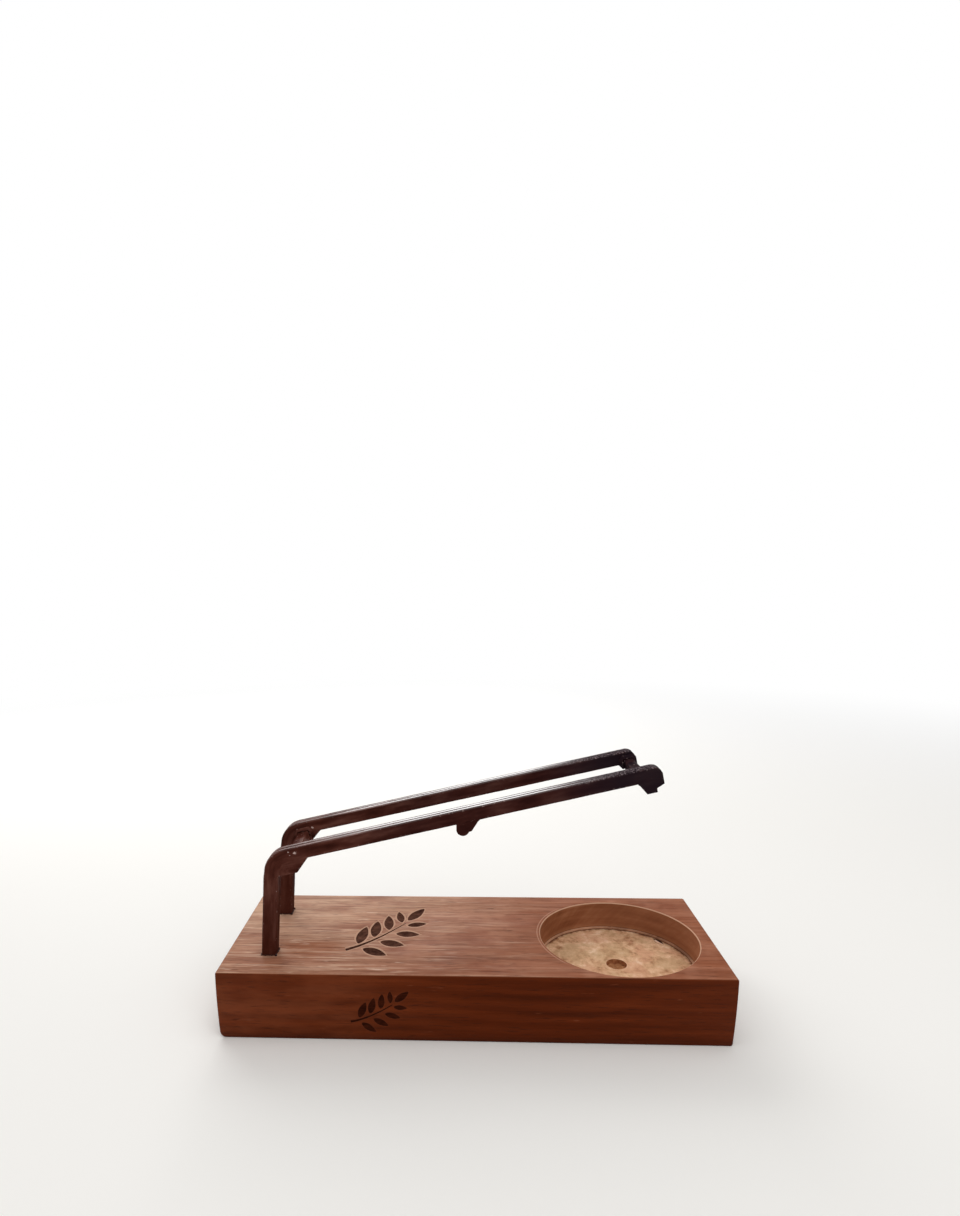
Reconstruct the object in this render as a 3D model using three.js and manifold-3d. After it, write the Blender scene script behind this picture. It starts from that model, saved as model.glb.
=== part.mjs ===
// Palo santo burner: a hardwood block with an ash bowl, and a rack of two bent square bars over it.
// X runs along the block towards the bowl, Y from front to rear, Z up, in millimetres.
// The origin is the centre of the block's underside.
import * as THREE from "three";
import { mergeVertices } from "three/addons/utils/BufferGeometryUtils.js";
import Module from "manifold-3d";

// Block
const blockLength = 210;
const blockWidth = 75.4;
const blockHeight = 30;
const blockEdge = 0.5; // chamfer along the front and rear edges
const endCornerRound = 0.9;
const worn = 2.6; // round of the worn lower corner at the post end
const endBow = 0.3; // how far the sawn ends swell at mid height

// Ash bowl
const bowlDiameter = 68.3;
const bowlDepth = 13.7;
const bowlEndWall = 6.2; // wood left between bowl and block end
const bowlFrontWall = 1.05; // wood left between bowl and front face
const bowlRimBreak = 0.35;
const bowlStepHeight = 1.6; // the lower wall stands in a little, as the last pass of the cutter left it
const bowlStepWidth = 0.5;
const dimpleDiameter = 9;
const dimpleDepth = 2.2;
const dimplePointDepth = 1.2; // cone under the dimple's straight wall

// Square bar of the rack
const barSide = 5.5;
const barEdge = 0.4; // chamfer on the corners of the bar
const bendInnerRadius = 5.2;
const tipRound = 4;

// Arms
const armSpacing = 39.2; // between the centre lines of the two arms
const rackCentreY = -0.5;
const postEndMargin = 16.1; // from the block end to the front post, at the top of the block
const postLean = 4.9; // degrees towards the bowl
const postHeight = 43.4; // from the top of the block to the corner of the centre lines
const armSlope = 13.35; // degrees
const armPastBowlCentre = 8.7;
const tenonLength = 16;
const rearSetback = 2.2;
const rearSink = 1.95;
const rearDroop = 0.4; // degrees
const rearExtraReach = 0.7;

// Cross bars, lug, welds and glue
const bendBarWidth = 5; // along the arms
const bendBarHeight = 5;
const bendBarSetback = 1.3; // the rear end of the bar lies this much nearer the posts
const tipBarWidth = 4.1;
const tipBarHeight = 4.5;
const tipBarSetback = 0.6;
const tipBarInset = 3.1; // from the end of the front arm to the tip cross bar
const lugWidth = 5.3;
const lugDrop = 5.5;
const lugThickness = 5;
const lugEdge = 0.6;
const bendWeldLeg = 5;
const tipWeldLeg = 2.7; // along the arm
const tipWeldDrop = 4; // down the side of the tip cross bar
const endWeldHigh = 1.6; // height of the bead under the nose of the arm, at its outer face
const endWeldLow = 2.8; // and where it meets the tip cross bar
const lugWeldReach = 4.2;
const weldHollow = 0.5; // how far the face of a bead sinks below a straight chamfer
const collarLeg = 1.8; // of the bead round the rear end of a cross bar
const collarOverhang = 1; // how far that bead runs past the edge of the rear arm's face
const glueThickness = 1.4;

// Clearances
const seatGap = 0.3; // between pieces that are welded or glued to each other

const degrees = Math.PI / 180;
const halfBar = barSide / 2;
const wasm = await Module();
wasm.setup();

// A closed geometry as a solid for cutting and joining.
function toSolid(geometry) {
  const bare = geometry.clone();
  bare.deleteAttribute("normal");
  bare.deleteAttribute("uv");
  const merged = mergeVertices(bare, 1e-4);
  const corners = merged.index.array;
  const triVerts = [];
  for (let i = 0; i < corners.length; i += 3) {
    const [a, b, c] = corners.slice(i, i + 3);
    // The poles of a revolved shape leave triangles without area.
    if (a !== b && b !== c && c !== a) triVerts.push(a, b, c);
  }
  return new wasm.Manifold(
    new wasm.Mesh({
      numProp: 3,
      vertProperties: merged.attributes.position.array,
      triVerts: new Uint32Array(triVerts),
    }),
  );
}

function toGeometry(solid) {
  const mesh = solid.getMesh();
  const geometry = new THREE.BufferGeometry();
  geometry.setAttribute("position", new THREE.BufferAttribute(mesh.vertProperties, 3));
  geometry.setIndex(new THREE.BufferAttribute(mesh.triVerts, 1));
  const loose = geometry.toNonIndexed();
  loose.computeVertexNormals();
  return loose;
}

// A side outline, drawn in X and Z, given a thickness along Y about the plane y = centreY.
function slab(outline, thickness, centreY, edge, curveSegments = 8) {
  const geometry = new THREE.ExtrudeGeometry(outline, {
    depth: thickness - 2 * edge,
    bevelEnabled: edge > 0,
    bevelThickness: edge,
    bevelSize: edge,
    bevelOffset: -edge,
    bevelSegments: 1,
    curveSegments,
  });
  geometry.rotateX(Math.PI / 2);
  geometry.translate(0, centreY + thickness / 2 - edge, 0);
  return geometry;
}

function along(point, direction, distance) {
  return point.clone().addScaledVector(direction, distance);
}

// Directions and points of one arm's side view, in X and Z.
function armLines(setback, sink, slopeDegrees) {
  const up = new THREE.Vector2(Math.sin(postLean * degrees), Math.cos(postLean * degrees));
  const out = new THREE.Vector2(Math.cos(slopeDegrees * degrees), Math.sin(slopeDegrees * degrees));
  const rightOfPost = new THREE.Vector2(up.y, -up.x);
  const underArm = new THREE.Vector2(out.y, -out.x);
  const turn = Math.PI / 2 - (postLean + slopeDegrees) * degrees;
  const bendRadius = bendInnerRadius + halfBar;
  const tangent = bendRadius * Math.tan(turn / 2);
  const baseX = -blockLength / 2 + postEndMargin + halfBar / up.y - setback;
  const corner = new THREE.Vector2(
    baseX + postHeight * Math.tan(postLean * degrees) - sink * up.x,
    blockHeight + postHeight - sink * up.y,
  );
  const foot = along(corner, up, -(postHeight / up.y + tenonLength));
  return { up, out, rightOfPost, underArm, bendRadius, tangent, corner, foot };
}

const front = armLines(0, 0, armSlope);
const rear = armLines(rearSetback, rearSink, armSlope - rearDroop);
const bowlX = blockLength / 2 - bowlEndWall - bowlDiameter / 2;
const bowlY = -blockWidth / 2 + bowlFrontWall + bowlDiameter / 2;
const frontLength = (bowlX + armPastBowlCentre - front.corner.x) / front.out.x;
const rearLength = frontLength + rearExtraReach;
const frontY = rackCentreY - armSpacing / 2;
const rearY = rackCentreY + armSpacing / 2;

// The bar of one arm: tenon and post, bend, sloping rail and rounded tip. A swell widens it all round.
function armOutline(lines, length, swell = 0) {
  const { up, out, rightOfPost, underArm, bendRadius, tangent, corner, foot } = lines;
  const half = halfBar + swell;
  const centre = along(along(corner, up, -tangent), rightOfPost, bendRadius);
  const tip = along(corner, out, length + swell);
  const startAngle = Math.atan2(-rightOfPost.y, -rightOfPost.x);
  const endAngle = Math.atan2(-underArm.y, -underArm.x);
  const round = tipRound + swell;
  const tipCentre = along(along(tip, out, -round), underArm, round - half);
  const footInner = along(foot, rightOfPost, half);
  const footOuter = along(foot, rightOfPost, -half);
  const tipUnder = along(tip, underArm, half);
  const shape = new THREE.Shape();
  shape.moveTo(footInner.x, footInner.y);
  shape.lineTo(footOuter.x, footOuter.y);
  shape.absarc(centre.x, centre.y, bendRadius + half, startAngle, endAngle, true);
  shape.absarc(tipCentre.x, tipCentre.y, round, endAngle, Math.atan2(out.y, out.x), true);
  shape.lineTo(tipUnder.x, tipUnder.y);
  shape.absarc(centre.x, centre.y, bendRadius - half, endAngle, startAngle, false);
  shape.closePath();
  return shape;
}

function arm(lines, length, centreY) {
  return slab(armOutline(lines, length), barSide, centreY, barEdge);
}

// The block's front view: straight top and underside, slightly swollen ends.
function blockOutline() {
  const right = blockLength / 2 - endBow;
  const left = -right;
  const shoulder = blockHeight - endCornerRound;
  const shape = new THREE.Shape();
  shape.moveTo(left + worn, 0);
  shape.lineTo(right - endCornerRound, 0);
  shape.quadraticCurveTo(right, 0, right, endCornerRound);
  shape.quadraticCurveTo(right + 2 * endBow, blockHeight / 2, right, shoulder);
  shape.quadraticCurveTo(right, blockHeight, right - endCornerRound, blockHeight);
  shape.lineTo(left + endCornerRound, blockHeight);
  shape.quadraticCurveTo(left, blockHeight, left, shoulder);
  shape.quadraticCurveTo(left - 2 * endBow, blockHeight / 2, left, worn);
  shape.quadraticCurveTo(left, 0, left + worn, 0);
  return shape;
}

// The tool that cuts the bowl: rim break, wall, step, flat floor and dimple with a conical point.
function bowlTool() {
  const radius = bowlDiameter / 2;
  const top = blockHeight + 1;
  const floor = blockHeight - bowlDepth;
  const dimple = dimpleDiameter / 2;
  const profile = [
    [0, floor - dimpleDepth - dimplePointDepth],
    [dimple, floor - dimpleDepth],
    [dimple, floor],
    [radius - bowlStepWidth, floor],
    [radius - bowlStepWidth, floor + bowlStepHeight - bowlStepWidth],
    [radius, floor + bowlStepHeight],
    [radius, blockHeight - bowlRimBreak],
    [radius + bowlRimBreak, blockHeight],
    [radius + bowlRimBreak, top],
    [0, top],
  ];
  const points = profile.map(([r, z]) => new THREE.Vector2(r, z));
  const geometry = new THREE.LatheGeometry(points, 72);
  geometry.rotateX(Math.PI / 2);
  geometry.translate(bowlX, bowlY, 0);
  return geometry;
}

// The leaning square hole that one post stands in, wider than the bar by the seat gap all round.
function postHole(lines, centreY) {
  const { up, rightOfPost, corner, foot } = lines;
  const half = halfBar + seatGap;
  const floor = along(foot, up, -(glueThickness + 2 * seatGap));
  const corners = [
    along(floor, rightOfPost, -half),
    along(floor, rightOfPost, half),
    along(corner, rightOfPost, half),
    along(corner, rightOfPost, -half),
  ];
  return slab(new THREE.Shape(corners), 2 * half, centreY, 0);
}

function block() {
  const sawn = slab(blockOutline(), blockWidth, 0, blockEdge);
  return toGeometry(
    toSolid(sawn)
      .subtract(toSolid(bowlTool()))
      .subtract(toSolid(postHole(front, frontY)))
      .subtract(toSolid(postHole(rear, rearY))),
  );
}

// The bed of glue between the end of a tenon and the bottom of its hole.
function glueBed(lines, centreY) {
  const { up, rightOfPost, foot } = lines;
  const low = along(foot, up, -(glueThickness + seatGap));
  const high = along(foot, up, -seatGap);
  const corners = [
    along(low, rightOfPost, -halfBar),
    along(low, rightOfPost, halfBar),
    along(high, rightOfPost, halfBar),
    along(high, rightOfPost, -halfBar),
  ];
  return slab(new THREE.Shape(corners), barSide, centreY, 0);
}

// A point of the rack: distance along the front arm's centre line from its corner, and below it.
function rackPoint(distance, below) {
  return along(along(front.corner, front.out, distance), front.underArm, below);
}

// Cross bars reach from the front face of the front arm to the near face of the rear arm, and run
// a little askew. They hang under the arms by their welds.
const bendBar = {
  at: front.tangent,
  width: bendBarWidth,
  height: bendBarHeight,
  setback: bendBarSetback,
};
const tipBar = {
  at: frontLength - tipBarInset - tipBarWidth / 2,
  width: tipBarWidth,
  height: tipBarHeight,
  setback: tipBarSetback,
};
const underside = halfBar + seatGap;
const crossStart = frontY - halfBar;
const rearFace = rearY - halfBar;
const crossEnd = rearFace - seatGap;
const lugAt = frontLength / 2;
const past = 20; // how far a cutting tool runs past the piece that it cuts

// The outline of a cross bar with broken corners. A swell widens it all round.
function barSection(bar, swell = 0) {
  const side = bar.width / 2 + swell;
  const rise = bar.height / 2 + swell;
  const middle = underside + bar.height / 2;
  const ring = [
    [barEdge - side, -rise],
    [side - barEdge, -rise],
    [side, barEdge - rise],
    [side, rise - barEdge],
    [side - barEdge, rise],
    [barEdge - side, rise],
    [-side, rise - barEdge],
    [-side, barEdge - rise],
  ];
  return new THREE.Shape(ring.map(([a, b]) => rackPoint(bar.at + a, middle - b)));
}

function askew(geometry, bar) {
  const lean = bar.setback / armSpacing;
  geometry.translate(0, -frontY, 0);
  geometry.applyMatrix4(new THREE.Matrix4().makeShear(0, 0, -lean, 0, 0, 0));
  return geometry.translate(0, frontY, 0);
}

function crossBar(bar) {
  const centreY = (crossStart + crossEnd) / 2;
  return toSolid(askew(slab(barSection(bar), crossEnd - crossStart, centreY, 0), bar));
}

// The bend cross bar is coped to nest inside the bend of the front arm.
function bendCrossBar() {
  const cope = slab(armOutline(front, frontLength, seatGap), barSide + past, crossStart, 0);
  return toGeometry(crossBar(bendBar).subtract(toSolid(cope)));
}

function tipCrossBar() {
  return toGeometry(crossBar(tipBar));
}

// The fillet that wraps the rear end of a cross bar, laid on the near face of the rear arm.
function weldCollar(bar) {
  const fillet = new THREE.ExtrudeGeometry(barSection(bar), {
    depth: seatGap,
    bevelThickness: collarLeg,
    bevelSize: collarLeg,
    bevelSegments: 1,
  });
  fillet.rotateX(Math.PI / 2);
  fillet.translate(0, crossEnd, 0);
  const barTool = toSolid(askew(slab(barSection(bar, seatGap), 2 * past, crossEnd, 0), bar));
  const backed = slab(armOutline(rear, rearLength, collarOverhang), past, crossEnd - past / 2, 0);
  return toGeometry(toSolid(askew(fillet, bar)).intersect(toSolid(backed)).subtract(barTool));
}

// The tongue under the front arm, round at its lower end.
function lug() {
  const half = lugWidth / 2;
  const top = rackPoint(lugAt, halfBar + seatGap);
  const bottom = top.y - lugDrop + half;
  const slope = Math.tan(armSlope * degrees);
  const shape = new THREE.Shape();
  shape.moveTo(top.x + half, top.y + half * slope);
  shape.lineTo(top.x - half, top.y - half * slope);
  shape.absarc(top.x, bottom, half, Math.PI, 2 * Math.PI, false);
  shape.closePath();
  return slab(shape, lugThickness, frontY, lugEdge);
}

// A weld bead in the corner between two faces: legs along both, and a slightly hollow face.
function bead(cornerPoint, alongOne, alongTwo, legOne, legTwo, width) {
  const inner = along(along(cornerPoint, alongOne, seatGap), alongTwo, seatGap);
  const one = along(inner, alongOne, legOne);
  const two = along(inner, alongTwo, legTwo);
  const inwards = along(alongOne, alongTwo, 1).normalize();
  const middle = along(one.clone().lerp(two, 0.5), inwards, -2 * weldHollow);
  const shape = new THREE.Shape();
  shape.moveTo(inner.x, inner.y);
  shape.lineTo(one.x, one.y);
  shape.quadraticCurveTo(middle.x, middle.y, two.x, two.y);
  shape.closePath();
  return slab(shape, width, frontY, 0, 6);
}

const towardsBend = front.out.clone().negate();
const down = new THREE.Vector2(0, -1);

function bendWeldFront() {
  const corner = rackPoint(bendBar.at + bendBar.width / 2, halfBar);
  return bead(corner, front.out, front.underArm, bendWeldLeg, bendBar.height - barEdge, barSide);
}

function tipWeldFront() {
  const corner = rackPoint(tipBar.at - tipBar.width / 2, halfBar);
  return bead(corner, towardsBend, front.underArm, tipWeldLeg, tipWeldDrop, barSide);
}

// The bead that fills the space between the tip cross bar and the end of the front arm.
function tipWeldEnd() {
  const near = tipBar.at + tipBar.width / 2 + seatGap;
  const shape = new THREE.Shape([
    rackPoint(near, underside),
    rackPoint(near, underside + endWeldLow),
    rackPoint((near + frontLength) / 2, underside + (endWeldLow + endWeldHigh + weldHollow) / 2),
    rackPoint(frontLength, underside + endWeldHigh),
    rackPoint(frontLength, underside),
  ]);
  return slab(shape, barSide, frontY, 0);
}

function lugWeld() {
  const top = rackPoint(lugAt, halfBar);
  const half = lugWidth / 2;
  const corner = new THREE.Vector2(top.x + half, top.y + half * Math.tan(armSlope * degrees));
  return bead(corner, front.out, down, lugWeldReach, lugDrop - half / 2, lugThickness);
}

const wood = { color: 0x7a3f2a, roughness: 0.45, metalness: 0 };
const paintedSteel = { color: 0x33201d, roughness: 0.3, metalness: 0.25 };
const weldMetal = { color: 0x3a2622, roughness: 0.35, metalness: 0.35 };
const glue = { color: 0xc9b27c, roughness: 0.5, metalness: 0 };

const burner = new THREE.Group();
function piece(name, geometry, finish) {
  const mesh = new THREE.Mesh(geometry, new THREE.MeshStandardMaterial(finish));
  mesh.name = name;
  burner.add(mesh);
}

piece("base_block", block(), wood);
piece("front_arm", arm(front, frontLength, frontY), paintedSteel);
piece("rear_arm", arm(rear, rearLength, rearY), paintedSteel);
piece("bend_cross_bar", bendCrossBar(), paintedSteel);
piece("tip_cross_bar", tipCrossBar(), paintedSteel);
piece("middle_lug", lug(), paintedSteel);
piece("bend_weld_front", bendWeldFront(), weldMetal);
piece("bend_weld_rear", weldCollar(bendBar), weldMetal);
piece("tip_weld_front", tipWeldFront(), weldMetal);
piece("tip_weld_end", tipWeldEnd(), weldMetal);
piece("tip_weld_rear", weldCollar(tipBar), weldMetal);
piece("lug_weld", lugWeld(), weldMetal);
piece("front_post_glue", glueBed(front, frontY), glue);
piece("rear_post_glue", glueBed(rear, rearY), glue);

export default burner;
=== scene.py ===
import functools
import math
import random
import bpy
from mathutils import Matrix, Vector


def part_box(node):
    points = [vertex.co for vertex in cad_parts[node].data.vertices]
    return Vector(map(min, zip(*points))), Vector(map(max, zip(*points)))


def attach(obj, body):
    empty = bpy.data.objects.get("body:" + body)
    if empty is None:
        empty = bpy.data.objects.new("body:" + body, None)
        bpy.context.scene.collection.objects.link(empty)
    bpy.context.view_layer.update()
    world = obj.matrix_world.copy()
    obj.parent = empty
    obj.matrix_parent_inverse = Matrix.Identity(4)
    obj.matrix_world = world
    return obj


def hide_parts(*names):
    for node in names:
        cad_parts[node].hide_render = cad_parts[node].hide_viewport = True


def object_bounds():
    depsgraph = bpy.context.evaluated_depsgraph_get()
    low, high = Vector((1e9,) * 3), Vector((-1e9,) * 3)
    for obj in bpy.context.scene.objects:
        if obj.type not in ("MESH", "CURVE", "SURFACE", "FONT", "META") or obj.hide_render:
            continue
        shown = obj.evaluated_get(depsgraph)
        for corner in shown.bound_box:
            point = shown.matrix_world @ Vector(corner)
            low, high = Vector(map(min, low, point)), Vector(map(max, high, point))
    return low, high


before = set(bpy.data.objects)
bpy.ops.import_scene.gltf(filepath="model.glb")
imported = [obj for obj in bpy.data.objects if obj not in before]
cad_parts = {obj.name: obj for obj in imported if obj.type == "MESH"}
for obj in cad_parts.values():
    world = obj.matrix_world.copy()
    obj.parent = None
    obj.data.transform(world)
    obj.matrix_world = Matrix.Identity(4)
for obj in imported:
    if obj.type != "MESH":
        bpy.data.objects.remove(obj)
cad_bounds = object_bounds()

from types import SimpleNamespace

import bmesh
import bpy
from mathutils import Matrix, Vector

mm = 0.001
degree = math.pi / 180
hair = 0.01 * mm

# The block, as the frame gives it
block_low, block_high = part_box("base_block")
top = block_high.z
front_face = block_low.y
block_edge = 0.5 * mm
end_corner = 0.9 * mm
worn_corner = 2.6 * mm
end_bow = 0.3 * mm

# Ash bowl
bowl_radius = 34.15 * mm
bowl_floor = top - 13.7 * mm
bowl_x = block_high.x - 6.2 * mm - bowl_radius
bowl_y = front_face + 1.05 * mm + bowl_radius
rim_break = 0.35 * mm
step_height = 1.2 * mm
step_width = 0.6 * mm
dimple_radius = 4.5 * mm
dimple_depth = 2.2 * mm
dimple_point = 1.2 * mm

# Square bar of the rack
bar_side = 5.5 * mm
half_bar = bar_side / 2
bar_round = 0.55 * mm
paint_build = 0.12 * mm
post_swell = 1.07
bend_inner_radius = 5.2 * mm
nose_round = 3.7 * mm
arm_spacing = 39.2 * mm
rack_y = -0.5 * mm
post_margin = 16.1 * mm
post_lean = 4.9 * degree
post_height = 43.4 * mm
arm_slope = 13.35 * degree
arm_past_bowl = 8.7 * mm
tenon = 16 * mm
rear_setback = 2.2 * mm
rear_sink = 1.95 * mm
rear_droop = 0.4 * degree
rear_extra = 0.7 * mm

# Cross bars, lug and webs
bend_bar = SimpleNamespace(width=5 * mm, height=5 * mm, setback=1.3 * mm)
tip_bar = SimpleNamespace(width=4.1 * mm, height=4.5 * mm, setback=0.6 * mm)
tip_bar_inset = 3.1 * mm
seat_gap = 0.3 * mm
underside = half_bar + seat_gap
lug_width = 5.3 * mm
lug_drop = 5.5 * mm
lug_thickness = 5 * mm
bend_weld_leg = 5 * mm
tip_weld_leg = 2.7 * mm
front_web_end = 1.8 * mm
front_web_foot = 0.7 * mm
rear_web_end = 15.2 * mm
rear_web_foot = (9.7 * mm, 7 * mm)
rear_lump_length = 7.8 * mm
rear_lump_rise = 0.9 * mm
rear_lump_depth = 4.2 * mm
end_weld_high = 1.6 * mm
end_weld_low = 2.8 * mm
lug_weld_reach = 4.2 * mm
weld_proud = 0.2 * mm

# Small gouge at the edge of the bowl's floor
gouge_length = 6.6 * mm
gouge_width = 2.6 * mm
gouge_depth = 0.5 * mm
gouge_at = (87 * mm, 21.6 * mm, bowl_floor)
gouge_turn = -60 * degree

# Carved sprigs, one on the top and a smaller one on the front. The shallow ledge round every
# cut is given in the sprig's own millimetres, and as a share of the cut's depth.
carving_x = -38 * mm
top_carving_turn = 14 * degree
top_carving_stretch = 1.3
top_carving_depth = 0.8 * mm
front_carving_z = 0.47 * top
front_carving_scale = 0.62
front_carving_depth = 0.4 * mm
carving_ledge = 0.65
ledge_share = 0.16

front_y = rack_y - arm_spacing / 2
rear_y = rack_y + arm_spacing / 2


# Selecting and shaping

def only(piece):
    bpy.ops.object.select_all(action="DESELECT")
    piece.select_set(True)
    bpy.context.view_layer.objects.active = piece


def in_scene(name, data):
    piece = bpy.data.objects.new(name, data)
    bpy.context.scene.collection.objects.link(piece)
    return piece


def named(name):
    """The primitive just added, with its place put into its mesh."""
    piece = bpy.context.object
    piece.name = piece.data.name = name
    bpy.ops.object.transform_apply(location=True, rotation=True, scale=True)
    return piece


def edit(piece):
    only(piece)
    bpy.ops.object.mode_set(mode="EDIT")
    bpy.ops.mesh.select_mode(type="FACE")
    bpy.ops.mesh.select_all(action="SELECT")


def done():
    bpy.ops.mesh.select_all(action="SELECT")
    bpy.ops.mesh.normals_make_consistent(inside=False)
    bpy.ops.object.mode_set(mode="OBJECT")


def pick(kind, test):
    """In edit mode, selects the vertices, edges or faces whose middle passes the test."""
    bpy.ops.mesh.select_mode(type=kind)
    bpy.ops.mesh.select_all(action="DESELECT")
    shape = bmesh.from_edit_mesh(bpy.context.object.data)
    for part in {"VERT": shape.verts, "EDGE": shape.edges, "FACE": shape.faces}[kind]:
        corners = [part] if kind == "VERT" else part.verts
        middle = sum((corner.co for corner in corners), Vector()) / len(corners)
        part.select_set(test(middle))
    shape.select_flush_mode()
    bmesh.update_edit_mesh(bpy.context.object.data)


def ring_at(height):
    """Adds edges all round what is being edited, at one height."""
    bpy.ops.mesh.select_all(action="SELECT")
    bpy.ops.mesh.bisect(plane_co=(0, 0, height), plane_no=(0, 0, 1))


def draw_out(offset, steps=1):
    """Extrudes what is selected along an offset, in equal steps."""
    for _ in range(steps):
        bpy.ops.mesh.extrude_region_move(TRANSFORM_OT_translate={"value": offset / steps})


def swell(factor, centre):
    bpy.ops.transform.resize(value=(factor,) * 3, center_override=centre)


def apply(piece, kind, **settings):
    only(piece)
    modifier = piece.modifiers.new(kind.lower(), kind)
    for key, value in settings.items():
        setattr(modifier, key, value)
    bpy.ops.object.modifier_apply(modifier=modifier.name)


def soften(piece, width):
    """Rounds every sharp edge of a piece."""
    apply(
        piece, "BEVEL", width=width, segments=3, limit_method="ANGLE", angle_limit=28 * degree,
        use_clamp_overlap=True,
    )


def cut(piece, tool, overlaps=False):
    """Takes the tool's shape out of the piece and throws the tool away."""
    apply(
        piece, "BOOLEAN", object=tool, operation="DIFFERENCE", solver="EXACT", use_self=overlaps
    )
    bpy.data.objects.remove(tool)


def roughen(piece, size, depth, shift=0):
    """Gives a piece the small unevenness of a hand-worked surface. A shift along X takes it from
    another part of the noise."""
    texture = bpy.data.textures.new(piece.name + "_unevenness", "CLOUDS")
    texture.noise_scale = size
    texture.noise_depth = 2
    piece.data.transform(Matrix.Translation((shift, 0, 0)))
    apply(piece, "DISPLACE", texture=texture, strength=depth, mid_level=0.5, texture_coords="LOCAL")
    piece.data.transform(Matrix.Translation((-shift, 0, 0)))


def mark_edges(piece, full_angle=40 * degree):
    """Stores on each vertex how sharply the surface turns outwards there, from 0 to 1."""
    shape = bmesh.new()
    shape.from_mesh(piece.data)
    layer = shape.verts.layers.float.new("edge")
    for vertex in shape.verts:
        turn = 0
        for edge in vertex.link_edges:
            if len(edge.link_faces) == 2:
                turn = max(turn, edge.calc_face_angle_signed(0))
        vertex[layer] = min(1, turn / full_angle)
    shape.to_mesh(piece.data)
    shape.free()


def smooth(piece, angle=38 * degree):
    only(piece)
    bpy.ops.object.shade_smooth_by_angle(angle=angle)


def join(pieces, name):
    only(pieces[0])
    for piece in pieces:
        piece.select_set(True)
    bpy.ops.object.join()
    pieces[0].name = pieces[0].data.name = name
    return pieces[0]


# Lines of the rack, in side view

def rack_line(setback, sink, slope):
    """Directions and points of one arm: the post's line, the rail's line and the bend between."""
    line = SimpleNamespace()
    line.up = Vector((math.sin(post_lean), 0, math.cos(post_lean)))
    line.out = Vector((math.cos(slope), 0, math.sin(slope)))
    line.right_of_post = Vector((line.up.z, 0, -line.up.x))
    line.under = Vector((line.out.z, 0, -line.out.x))
    line.turn = math.pi / 2 - (post_lean + slope)
    line.radius = bend_inner_radius + half_bar
    line.tangent = line.radius * math.tan(line.turn / 2)
    base_x = block_low.x + post_margin + half_bar / line.up.z - setback
    line.corner = Vector((base_x + post_height * math.tan(post_lean), 0, top + post_height))
    line.corner -= sink * line.up
    line.foot = line.corner - line.up * (post_height / line.up.z + tenon)
    line.post_length = (line.corner - line.foot).length - line.tangent
    line.centre = line.corner - line.up * line.tangent + line.right_of_post * line.radius
    line.through_top = line.corner - line.up * (line.corner.z - top) / line.up.z
    return line


front = rack_line(0, 0, arm_slope)
rear = rack_line(rear_setback, rear_sink, arm_slope - rear_droop)
front_length = (bowl_x + arm_past_bowl - front.corner.x) / front.out.x
rear_length = front_length + rear_extra
bend_bar.at = front.tangent
tip_bar.at = front_length - tip_bar_inset - tip_bar.width / 2
lug_at = front_length / 2


def at_y(place, y):
    return Vector((place.x, y, place.z))


def rack_point(distance, below, y=0, line=front):
    """A point along an arm's centre line from its corner, and below it."""
    return at_y(line.corner + line.out * distance + line.under * below, y)


def section(name, centre, direction, side):
    """A square across a bar's line, in edit mode and ready to be drawn out."""
    lean = math.atan2(direction.x, direction.z)
    bpy.ops.mesh.primitive_plane_add(size=side, location=centre, rotation=(0, lean, 0))
    piece = named(name)
    edit(piece)
    return piece


def grind(point, normal):
    """Cuts away what lies beyond a plane, and closes the cut."""
    bpy.ops.mesh.select_all(action="SELECT")
    bpy.ops.mesh.bisect(
        plane_co=point, plane_no=normal.normalized(), use_fill=True, clear_outer=True
    )


def store_place(piece, measure):
    """Keeps each vertex's place along, across and above its bar, for the paint to follow."""
    layer = piece.data.attributes.new("bar_place", "FLOAT_VECTOR", "POINT")
    for vertex, value in zip(piece.data.vertices, layer.data):
        value.vector = measure(vertex.co)


def place_on_arm(line):
    """Measures a point along an arm's centre line, across it, and above it."""
    def measure(point):
        spoke = Vector((point.x, 0, point.z)) - line.centre
        angle = math.atan2(spoke.dot(line.up), -spoke.dot(line.right_of_post))
        if angle < 0:
            along = line.post_length + spoke.dot(line.up)
            above = -spoke.dot(line.right_of_post) - line.radius
        elif angle < line.turn:
            along = line.post_length + angle * line.radius
            above = spoke.length - line.radius
        else:
            along = line.post_length + line.turn * line.radius + spoke.dot(line.out)
            above = -spoke.dot(line.under) - line.radius
        return Vector((along, point.y, above))

    return measure


def place_on_cross_bar(point):
    """Measures along and across only: the paint's bright upper side is on the arms alone."""
    return Vector((point.y, point.x, 0))


def web(line, y, start, end, thickness, high, low):
    """A block of weld under an arm, from its centre line down, with one side ground flat.
    The ground side passes through a high and a low place, each a distance and a depth."""
    lowest = max(high[1], low[1])
    slope = math.atan2(line.out.z, line.out.x)
    bpy.ops.mesh.primitive_cube_add(
        size=1, location=rack_point((start + end) / 2, lowest / 2, y, line),
        rotation=(0, -slope, 0), scale=(end - start, thickness, lowest),
    )
    block = named("web")
    edit(block)
    normal = line.out * (low[1] - high[1]) + line.under * (high[0] - low[0])
    if high[0] < low[0]:
        normal.negate()
    grind(rack_point(*high, 0, line), normal)
    done()
    return block


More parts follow.
